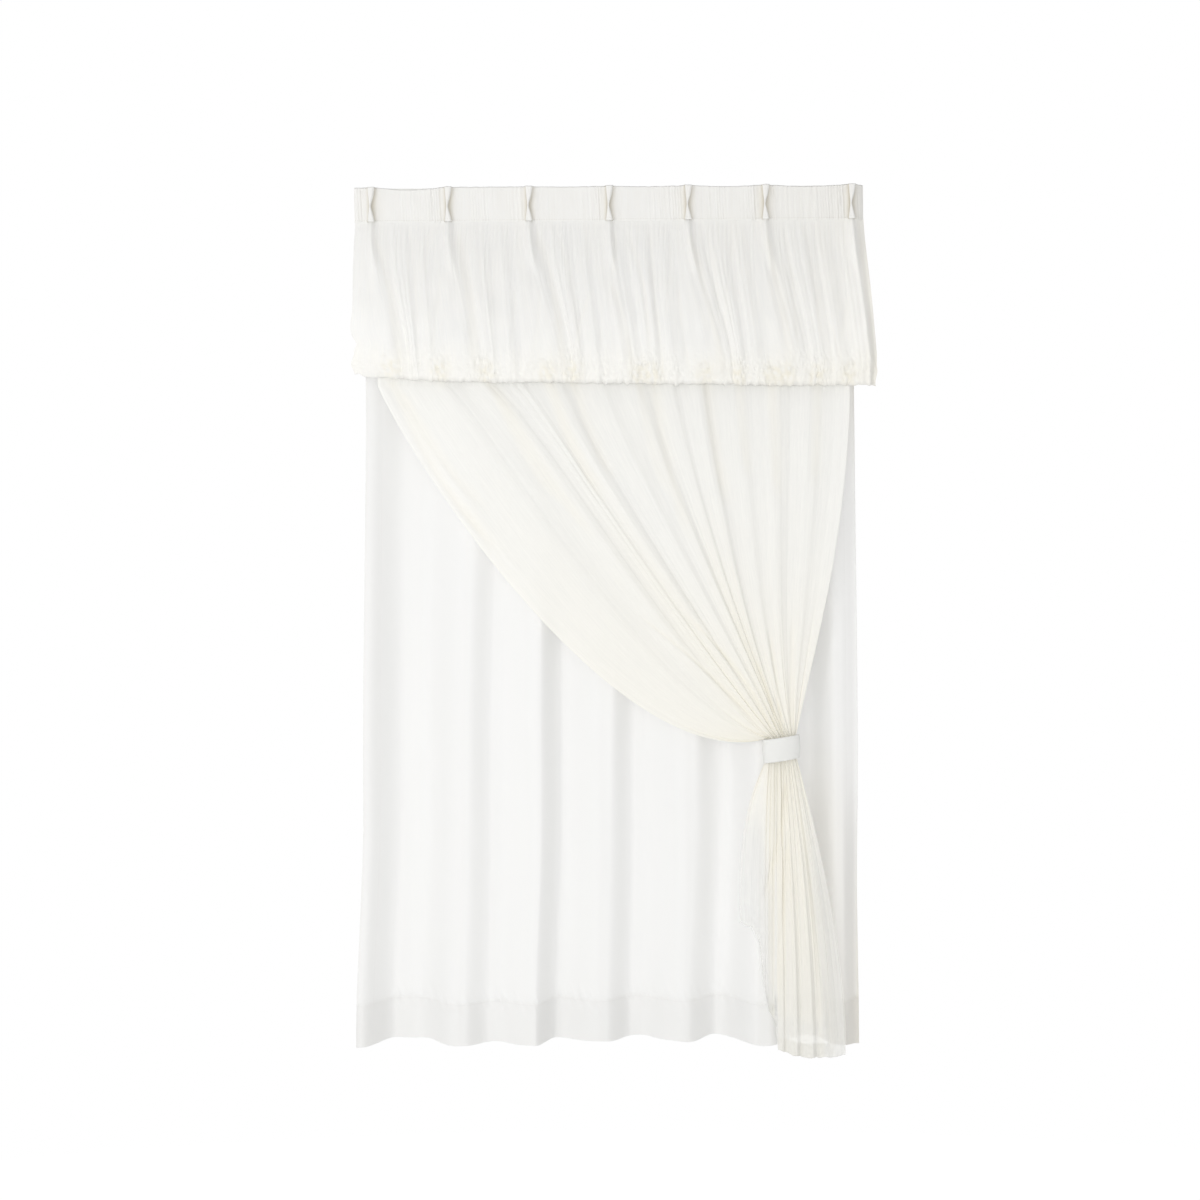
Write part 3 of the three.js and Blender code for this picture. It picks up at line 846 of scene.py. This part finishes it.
# %% Blow the valance forward
def valance_points(s, r):
    """The valance's grid: s is where a thread is sewn to the heading, r goes from 0 at the top to 1 at
    the turned-under edge."""
    z, front = (np.array([level[name] for level in valance_levels]) for name in ("z", "front"))
    length = np.concatenate([[0], np.cumsum(np.hypot(np.diff(z), np.diff(front)))])
    levels = [{**level, "r": at} for level, at in zip(valance_levels, length / length[-1])]
    level = {name: curve(levels, "r", name, r)[None, :] for name in ("z", "front", "out", "fold")}
    pleat = {name: curve(pleats, "x", name, s)[:, None] for name in ("lean", "lift", "gather")}
    ends = share(s, -HALF_WIDTH, pleat_x[0])[:, None]
    pleat["lift"] = pleat["lift"] + 11 * (1 - ends)
    nearest = np.clip(np.searchsorted(pleat_x, s, side="right") - 1, 0, len(pleat_x) - 2)
    at = (s - pleat_x[nearest]) / (pleat_x[nearest + 1] - pleat_x[nearest])
    leans = np.array([row["lean"] for row in pleats])
    easing = leans[nearest] * (1 - 0.7 * smooth(at / 0.6))
    lean = mix(easing, leans[nearest + 1], ease(at, 0.76, 1))[:, None]
    pleat["lean"] = np.where(ends < 1, leans[0] * ends**2, lean)
    forward = turns(span_folds, "at", "forward", np.clip(at, 0, 1))[:, None] * pleat["gather"] * 0.37
    past = ease(s, pleat_x[-1], TURNED_END + 1)[:, None]
    forward = forward * (1 - past) * mix(0.3, 1, ends)
    down = ease(-level["z"], HEADING_HEIGHT, VALANCE_DROP)
    flare = level["out"] * mix(FLARE_LEFT, FLARE_RIGHT, share(s, -HALF_WIDTH, HALF_WIDTH))[:, None]
    bulge = PLEAT_BULGE * hump(nearest_pleat(s), 8)[:, None] * ease(level["out"], 0.3, 0)
    stand = (level["front"] + forward * level["fold"]) * (1 - RETURN_BACK * past) + bulge
    behind = heading_turn(s)[:, None] * (1 - ease(level["front"], 0, 60))
    x = s[:, None] + pleat["lean"] * down * (1 - past) + flare
    return np.stack([x, behind - stand, level["z"] + pleat["lift"] * down], axis=2)


valance_s = np.linspace(1 - HALF_WIDTH, TURNED_END + 1, 800)
valance_r = np.linspace(0, 1, 118)
valance_grid = valance_points(valance_s, valance_r)
print("valance grid:", valance_grid.shape[:2])


# %% Crease, gather and crumple the valance
def finished_valance(grid):
    x, y, z = np.moveaxis(grid, 2, 0).copy()
    r = valance_r[None, :]
    sewn = share(r, 0, 0.05)
    pressed = creased(x, z, creases) * sewn * share(r, 0.97, 0.86)
    y += 0.27 * pressed
    slant = valance_s[:, None] + 0 * z
    gathers = 0.45 * ripple(slant, 41, 9, 22, 18) * mix(1, 0.6, r)
    gathers += 0.34 * ripple(slant - 0.1 * z, 42, 5, 11, 18) * share(r, 0.7, 0)
    y += gathers * sewn
    y += 1.0 * crumple(x, z * 0.35, 43, 22, 90) * share(r, 0.05, 0.4)
    bunched = sum(hump(x - at, 20) for at in bunches)
    soft = ease(r, 0.66, 0.82)
    crushed = np.abs(crumple(x, z, 44, 9, 24)) - 0.5
    y += soft * crushed * (1.4 + 1.4 * np.clip(bunched, 0, 1))
    x += soft * 1.2 * crumple(x, z, 45, 14, 40)
    z += soft * (0.8 * crumple(x, z, 46, 14, 44) + 0.9 * ripple(x, 47, 18, 60))
    z += 1.0 * ripple(x, 49, 10, 26) * share(r, 0.8, 0.88)
    knots = sum(hump(x - at, 17) for at in bunches) * hump(r - 0.84, 0.055)
    patchy = np.clip(knots * (0.75 + 0.5 * crumple(x, z, 48, 10, 26)), 0, 1)
    ends_in = share(valance_s, -HALF_WIDTH, -HALF_WIDTH + 60)[:, None]
    # Painted shade in the colour: the crumpled strip is deepened as the shade among its crumples, the
    # bunches and creases partly as denser cloth and partly as shade, the cloth towards the right end
    # because less light falls there, and the return at the right end as its shaded side.
    layers_and_shade = 0.17 * soft + 0.62 * patchy + 0.03 * np.clip(pressed, 0, 5) + 0.16 * share(x, 60, 520)
    layers_and_shade = layers_and_shade + 0.25 * share(valance_s, TURNED_END - 22, TURNED_END - 10)[:, None]
    # The turned-under edge is one loose layer, so it is sheerer than the rest.
    loose = 2.4 * share(r, 0.865, 0.885) * ends_in
    left = hump(valance_s[:, None] + HALF_WIDTH, 26)
    x += left * (-5 * hump(z + 300, 26) + 7 * hump(z + 336, 12) - 4 * hump(z + 372, 18))
    return np.stack([x, y, z], axis=2), layers_and_shade, loose


valance_sheet, valance_layers_and_shade, valance_loose = finished_valance(valance_grid)
density = {"crowding": valance_layers_and_shade, "thin": valance_loose}
cloth("balloon_valance", valance_sheet, "valance", "valance_cloth", **density)

# %% [markdown]
# ## The tie band
#
# A stiff double band goes once round the gathered sheer and closes behind it. It is a closed ring: a flat
# section with rounded edges, carried round an oval that is a little flattened by the bundle. A torus
# would be too round and too thick, so the ring is a grid that closes both ways.

# %% Wrap the tie
ROUND_POINTS, RIM_POINTS = 120, 56
HALF_THICK = 1.2


def tie_points():
    angle = np.linspace(0, 2 * np.pi, ROUND_POINTS, endpoint=False)[:, None]
    rim = np.linspace(0, 2 * np.pi, RIM_POINTS, endpoint=False)[None, :]
    tall, thick = TIE["height"] / 2, HALF_THICK
    up = np.sign(np.sin(rim)) * np.abs(np.sin(rim)) ** 0.35 * tall
    out = np.sign(np.cos(rim)) * np.abs(np.cos(rim)) ** 0.35 * thick
    seam = hump(np.abs(up) - tall + 4, 1.3) * 0.5
    out = out - seam * np.sign(out)
    soft = 0.8 * ripple(angle * 30, 51, 30, 90) + 0.5 * crumple(angle * 35, up, 52, 16, 50)
    crease = 1.4 * hump(up + 17 - 9 * np.sin(angle), 2.2) * ease(np.cos(angle), 0.1, 0.8)
    wide, deep = TIE["half_width"] - thick, TIE["half_depth"] - thick
    squeeze = 1 + 0.012 * np.cos(np.pi * up / tall)
    x = TIE["x"] + (wide * squeeze + out + soft - crease) * np.cos(angle)
    y = TIE["y"] - (deep * squeeze + out + soft * 0.6) * np.sin(angle)
    z = TIE["z"] + up + TIE["slope"] * (x - TIE["x"])
    points = np.stack([x, y, z], axis=2)
    return np.concatenate([points, points[:, :1]], axis=1)


cloth("tie_wrap", tie_points(), "tie_band", "tie_cloth", closed=True)

# %% [markdown]
# ## Stitches
#
# The panel's hems, the heading's lower edge and the tie are sewn, and each pleat is tacked at its waist.
# A stitch is half buried in the cloth, so it is a short bead, thickest in its middle. All the stitches of
# a piece are one mesh. A line in the material would be flat and would not follow the puckers.

# %% Sew the stitches
# How far along a stitch each ring lies, and how full it is there.
BEAD = [(0.0, 0.15), (0.15, 0.8), (0.5, 1.0), (0.85, 0.8), (1.0, 0.15)]
SIDES = 6


def beads(lines, long, gap, thick, proud):
    """Points and faces of the stitches along some lines of points, standing `proud` in front of them."""
    turn = np.linspace(0, 2 * np.pi, SIDES, endpoint=False)
    out = np.array([0, -1, 0])
    points, faces = [], []
    for line in lines:
        run = np.concatenate([[0], np.cumsum(np.linalg.norm(np.diff(line, axis=0), axis=1))])
        for start in np.arange(gap / 2, run[-1] - long, long + gap):
            places = [start + part * long for part, _ in BEAD]
            spine = np.stack([np.interp(places, run, line[:, i]) for i in range(3)], axis=1)
            way = spine[-1] - spine[0]
            way = way / np.linalg.norm(way)
            up = np.cross(way, out)
            up = up / np.linalg.norm(up)
            base = len(points) * SIDES
            around = up * np.cos(turn)[:, None] + out * np.sin(turn)[:, None]
            for place, (_, full) in zip(spine, BEAD):
                points.append(place + np.array([0, -proud * full, 0]) + thick * full * around)
            for k in range(len(BEAD) - 1):
                near, far = base + SIDES * k, base + SIDES * (k + 1)
                for i in range(SIDES):
                    j = (i + 1) % SIDES
                    faces.append([near + i, near + j, far + j, far + i])
    return np.concatenate(points), faces


def sew(name, lines, long, gap, thick, proud=0.15):
    points, faces = beads(lines, long, gap, thick, proud)
    mesh = bpy.data.meshes.new(name)
    mesh.from_pydata((points * MM).tolist(), [], faces)
    mesh.polygons.foreach_set("use_smooth", np.ones(len(faces), bool))
    keep(name, mesh, None)


# Below the heading, the panel's side hems are sewn from this row down.
SIDE_START = 30
hem_row = int(np.abs(panel_z - (HEM_TOP - 4)).argmin())
hem_line = panel_front[:, hem_row]
sides = [panel_front[SIDE_HEM, SIDE_START:], panel_front[-1 - SIDE_HEM, SIDE_START:]]
sew("panel_stitches", [hem_line, *sides], 4.0, 2.2, 0.4)
waist = int(np.abs(heading_depth - 42).argmin())
foot = int(np.abs(heading_depth - 68).argmin())
tacks = []
for pleat in pleats:
    front = heading_front[:, waist]
    near = front[np.abs(front[:, 0] - pleat["x"]) < 7]
    near = near[near[:, 1] < -11]
    for lift in (-2.0, -0.7, 0.6, 1.9):
        left, right = near[near[:, 0].argmin()], near[near[:, 0].argmax()]
        top = near[near[:, 1].argmin()]
        tacks.append(np.array([left, top, right]) + np.array([0, -0.3, lift]))
sew("pleat_tacks", tacks, 4.6, 0.1, 0.55, 0.3)
sew("heading_stitches", [heading_front[:, foot]], 3.2, 1.8, 0.35)
wrap = tie_points()
edges = [wrap[:, int(i)] for i in (wrap.shape[1] * np.array([0.17, 0.83])).astype(int)]
sew("tie_stitches", edges, 2.6, 1.4, 0.3)

# %% [markdown]
# ## Cloth as a material
#
# Shader maths is easier to read as a formula than as a tangle of nodes. The class below wraps one socket:
# adding or multiplying two of them adds a Math node and gives back its output. Every other node comes
# from one method, which takes the node's kind, its settings and what goes into its sockets.

# %% Write formulas with sockets
class Wire:
    """A material's socket that formulas can be written with."""

    def __init__(self, tree, socket=None):
        self.tree = tree
        self.socket = socket

    def node(self, kind, settings=None, inputs=None, output=0):
        made = self.tree.nodes.new("ShaderNode" + kind)
        for name, value in (settings or {}).items():
            setattr(made, name, value)
        for name, value in (inputs or {}).items():
            if isinstance(value, Wire):
                self.tree.links.new(value.socket, made.inputs[name])
            else:
                made.inputs[name].default_value = value
        return Wire(self.tree, made.outputs[output] if len(made.outputs) else None)

    def math(self, operation, a, b=0.0):
        return self.node("Math", {"operation": operation}, {0: a, 1: b})

    def clamp(self, value, high=1.0):
        return self.math("MAXIMUM", self.math("MINIMUM", value, high), 0.0)

    def field(self, name):
        """A field of the mesh, one number for each point."""
        return self.node("Attribute", {"attribute_name": name}, output="Fac")

    def part(self, place, axis):
        return self.node("SeparateXYZ", inputs={0: place}, output=axis)

    def blend(self, factor, a, b):
        """Goes from colour a to colour b."""
        return self.node("Mix", {"data_type": "RGBA"}, {0: factor, 6: a, 7: b}, output=2)

    def __add__(self, other):
        return self.math("ADD", self, other)

    def __sub__(self, other):
        return self.math("SUBTRACT", self, other)

    def __rsub__(self, other):
        return self.math("SUBTRACT", other, self)

    def __mul__(self, other):
        return self.math("MULTIPLY", self, other)

    __radd__ = __add__
    __rmul__ = __mul__


def start_material(name):
    material = bpy.data.materials.new(name)
    material.use_nodes = True
    material.node_tree.nodes.clear()
    return material, Wire(material.node_tree)


print("a formula such as 1 - mask adds a Math node")

# %% [markdown]
# ## Woven threads
#
# All these cloths are plain weaves, so one recipe serves them: fine waves across and along the threads
# make the weave, and long soft streaks along the threads are the slubs and denser yarns that a sheer
# always has. Both are read from the flat cloth, so they bend with the folds. A sheer lets light through
# in two ways. Between its threads one looks straight through, which is the Transparent part. The threads
# themselves glow with light from behind, which is the Translucent part.

# %% The weave and the streaks
def weave(wire, pitch):
    """The height of a plain weave, 0 to 1, from the cloth's own coordinates."""
    spot = wire.node("Attribute", {"attribute_name": "thread"}, output="Vector")
    rate = 2 * np.pi / pitch
    warp, weft = (wire.math("SINE", wire.part(spot, axis) * rate) for axis in "XY")
    return spot, warp * weft * 0.5 + 0.5


def streaks(wire, spot, close, long):
    """Soft streaks along the threads, 0 to 1: `close` to a metre across, `long` to a metre along."""
    scaled = wire.node("VectorMath", {"operation": "MULTIPLY"}, {0: spot, 1: (close, long, 1.0)})
    return wire.node("TexNoise", inputs={"Vector": scaled, "Scale": 1.0, "Detail": 2.0, "Roughness": 0.6})


print("a pitch of 1 mm puts", round(1 / 0.001), "yarns in a metre")

# %% [markdown]
# A cloth's material joins these two. Its colour goes from light to deep where the yarn is dense or the
# cloth crowded, and towards deep where shade is painted in. A Bump node raises the weave, and some light
# passes through the threads themselves. In a sheer, one last mix lets one look between them, and where
# it is thin its colour is painted greyer, as shade. Sewing thread is simpler: a satin twist of its plies,
# with painted shade in the grooves between them.

# %% Recipes for woven cloth and sewing thread
SHADE_GREY = (0.86, 0.862, 0.85)


def woven(name, light, deep, cover, pitch, glow, fuller=None, bump=0.15, uneven=0.3, ash=0.0):
    """A woven material. light and deep are its colour at its thinnest and densest yarn, and deep is also
    the colour that painted shade goes towards. cover is how much of the view its threads close, and glow
    is the share of light that they pass on. fuller names a field that says where the cloth is crowded
    and so looks denser, and where shade is painted into its colour; uneven is how blotchy its yarn is. The
    field "thin" opens a sheer's threads where fewer layers lie over each other, and ash is how much
    greyer it paints them there, as shade."""
    material, wire = start_material(name)
    spot, height = weave(wire, pitch)
    yarn = streaks(wire, spot, 420.0, 14.0)
    cloudy = streaks(wire, spot, 22.0, 5.0)
    density = yarn * 0.55 + cloudy * 0.45
    shade = (density - 0.5) * uneven + min(uneven, 0.3) / 2
    # The field deepens the colour both where the cloth is crowded and where shade is painted in.
    if fuller:
        crowded = wire.field(fuller)
        shade = shade + crowded * 0.7
    colour = wire.blend(wire.clamp(shade), (*light, 1.0), (*deep, 1.0))
    # Where the sheer is thin, its colour is painted greyer, as the shade that shows through it.
    if ash:
        greyer = wire.clamp(wire.field("thin") * ash, 0.6)
        colour = wire.blend(greyer, colour, (*SHADE_GREY, 1.0))
    relief = height * 0.6 + yarn * 0.4
    normal = wire.node("Bump", inputs={"Strength": bump, "Distance": 0.0006, "Height": relief})
    finish = {"Roughness": 0.85, "Specular IOR Level": 0.25, "Sheen Weight": 0.12, "Sheen Roughness": 0.5}
    face = wire.node("BsdfPrincipled", inputs={"Base Color": colour, "Normal": normal, **finish})
    back = wire.node("BsdfTranslucent", inputs={"Color": (*light, 1.0), "Normal": normal})
    thread = wire.node("MixShader", inputs={0: glow, 1: face, 2: back})
    if cover < 1:
        closed = cover + (density - 0.5) * 0.22
        if fuller:
            closed = closed + crowded * 0.12
        closed = wire.clamp(closed - wire.field("thin") * 0.12)
        clear = wire.node("BsdfTransparent")
        thread = wire.node("MixShader", inputs={0: closed, 1: clear, 2: thread})
    wire.node("OutputMaterial", inputs={0: thread})
    return material


def spun(name, colour):
    """Sewing thread: a satin white with the twist of its plies."""
    material, wire = start_material(name)
    place = wire.node("TexCoord", output="Object")
    plies = (9000.0, 0.0, 6000.0)
    slant = wire.node("VectorMath", {"operation": "DOT_PRODUCT"}, {0: place, 1: plies}, "Value")
    twist = wire.math("SINE", slant) * 0.5 + 0.5
    normal = wire.node("Bump", inputs={"Strength": 0.5, "Distance": 0.0002, "Height": twist})
    # The grooves between the plies are painted 10% darker, as the shade that lies in them.
    darker = tuple(0.9 * value for value in colour)
    shade = wire.blend(twist, (*darker, 1.0), (*colour, 1.0))
    face = wire.node("BsdfPrincipled", inputs={"Base Color": shade, "Roughness": 0.5, "Normal": normal})
    wire.node("OutputMaterial", inputs={0: face})
    return material


print("recipes:", woven.__name__, "and", spun.__name__)

# %% [markdown]
# The panel is the whitest and the tie the greyest. The heading's stiffening makes it opaque, painted
# shade makes it darker and warmer at its pleats and towards its right end, and the drawn sheer is the
# most open of them all.

# %% Give every piece its finish
weaves = table_of(
    "piece name light deep cover pitch glow fuller bump uneven ash",
    ("plain_panel", "White panel weave", (0.978, 0.978, 0.974), (0.9, 0.868, 0.79),
     1.0, 0.0012, 0.28, "handled", 0.1, 0.05),
    ("heading", "Stiffened heading", (0.965, 0.968, 0.965), (0.74, 0.685, 0.56),
     1.0, 0.0011, 0.08, "crowding", 0.1, 0.35),
    ("balloon_valance", "Off-white sheer", (0.976, 0.979, 0.978), (0.9, 0.86, 0.74),
     0.97, 0.001, 0.1, "crowding", 0.08, 0.5),
    ("drawn_sheer", "Cream sheer", (0.98, 0.98, 0.962), (0.918, 0.888, 0.797),
     0.86, 0.001, 0.15, "crowding", 0.08, 0.3, 0.32),
    ("tie_wrap", "Tie band satin", (0.865, 0.868, 0.85), (0.84, 0.835, 0.8), 1.0, 0.0008, 0.05),
)
for row in weaves:
    pieces[row.pop("piece")].data.materials.append(woven(**row))
threads = table_of(
    "piece cloth colour",
    ("panel_stitches", "plain_panel", (0.93, 0.925, 0.91)),
    ("pleat_tacks", "heading", (0.85, 0.83, 0.78)),
    ("heading_stitches", "heading", (0.85, 0.83, 0.78)),
    ("tie_stitches", "tie_wrap", (0.83, 0.83, 0.81)),
)
for row in threads:
    pieces[row["piece"]].data.materials.append(spun("Thread on " + row["cloth"], row["colour"]))
print("finishes:", len(weaves) + len(threads))

# %% [markdown]
# ## The cloth's flat sizes
#
# A sheet hangs in folds, but it was cut flat. The area of its faces is the cloth it takes, printed for
# each piece.

for name, piece in pieces.items():
    print(name, "covers", round(sum(face.area for face in piece.data.polygons), 3), "square metres")

# %% [markdown]
# ## Light, floor and camera
#
# White cloth on white needs very soft light, or its folds turn grey. Most of it comes evenly from all
# round, as in a white studio. One large lamp on the left gives the folds their shaded sides, and a wider
# one in front fills them. The background is plain white to the camera, which the Light Path node keeps
# apart from the light it gives.

# %% Light the studio
scene = bpy.context.scene
scene.view_settings.view_transform = "Standard"
world = bpy.data.worlds.new("White studio")
scene.world = world
world.use_nodes = True
world.node_tree.nodes.clear()
air = Wire(world.node_tree)
seen = air.node("LightPath", output="Is Camera Ray")
spread = air.node("TexCoord", output="Generated")
aside, upward = air.part(spread, "X"), air.part(spread, "Z")
strength = 0.61 + 0.2 * air.math("ABSOLUTE", upward) - 0.1 * upward - 0.1 * aside
lit = air.node("Background", inputs={0: (1.0, 0.997, 0.985, 1.0), 1: strength})
bare = air.node("Background", inputs={0: (1.0, 1.0, 1.0, 1.0), 1: 1.0})
air.node("OutputWorld", inputs={0: air.node("MixShader", inputs={0: seen, 1: lit, 2: bare})})


def lamp(name, place, aim, size, watts):
    light = bpy.data.lights.new(name, "AREA")
    light.shape = "DISK"
    light.size = size
    light.energy = watts
    holder = bpy.data.objects.new(name, light)
    scene.collection.objects.link(holder)
    holder.location = place
    way = np.array(aim) - np.array(place)
    holder.rotation_mode = "QUATERNION"
    holder.rotation_quaternion = Vector(way).to_track_quat("-Z", "Y")


middle = (cad_low + cad_high) / 2
lamp("Key", (middle.x - 1.7, -3.1, middle.z + 0.15), middle, size=1.3, watts=17)
lamp("Front fill", (middle.x - 0.3, -4.6, middle.z), middle, size=2.4, watts=47)


# %% [markdown]
# The floor lies well below the hem, as a curtain's hem clears it. Near the curtain it is pale and takes a
# soft shadow. Towards its rim it glows up to plain white, so that it melts into the studio's background
# without an edge.

# %% Lay the floor
FLOOR_WIDE, FLOOR_DEEP, FLOOR_FORWARD = 2.6, 1.6, -0.9
FLOOR_BELOW = 0.55
PAST_GLOW = 1.4
floor_z = cad_low.z - FLOOR_BELOW
rim = [(np.cos(a), np.sin(a)) for a in np.linspace(0, 2 * np.pi, 96, endpoint=False)]
far_x, far_y = PAST_GLOW * FLOOR_WIDE, PAST_GLOW * FLOOR_DEEP
outline = [(far_x * c, FLOOR_FORWARD + far_y * s, floor_z) for c, s in rim]
floor_mesh = bpy.data.meshes.new("Floor")
floor_mesh.from_pydata(outline, [], [tuple(range(len(outline)))])
floor = bpy.data.objects.new("Floor", floor_mesh)
scene.collection.objects.link(floor)
paint, wire = start_material("Pale floor")
place = wire.node("TexCoord", output="Object")
sideways = wire.part(place, "X") * (1 / FLOOR_WIDE)
forward = (wire.part(place, "Y") - FLOOR_FORWARD) * (1 / FLOOR_DEEP)
out_to_rim = wire.math("POWER", sideways * sideways + forward * forward, 0.5)
glow = wire.clamp((out_to_rim - 0.5) * 2.0)
matt = wire.node("BsdfDiffuse", inputs={"Color": (0.86, 0.86, 0.855, 1.0)})
white = wire.node("Emission", inputs={"Color": (1.0, 1.0, 1.0, 1.0), "Strength": 1.05})
wire.node("OutputMaterial", inputs={0: wire.node("MixShader", inputs={0: glow, 1: matt, 2: white})})
floor_mesh.materials.append(paint)

# %% Set the camera
camera = bpy.data.objects.new("Camera", bpy.data.cameras.new("Camera"))
scene.collection.objects.link(camera)
scene.camera = camera
CAMERA_X, CAMERA_AWAY, CAMERA_Z = -0.0176, 3.8, -0.857
FRAME_WIDTH = 2.484
SENSOR = 36
camera.data.sensor_width = SENSOR
camera.data.lens = SENSOR * CAMERA_AWAY / FRAME_WIDTH
camera.location = (CAMERA_X, -CAMERA_AWAY, CAMERA_Z)
ROLL = np.radians(0.42)
camera.rotation_euler = (np.pi / 2, ROLL, 0)
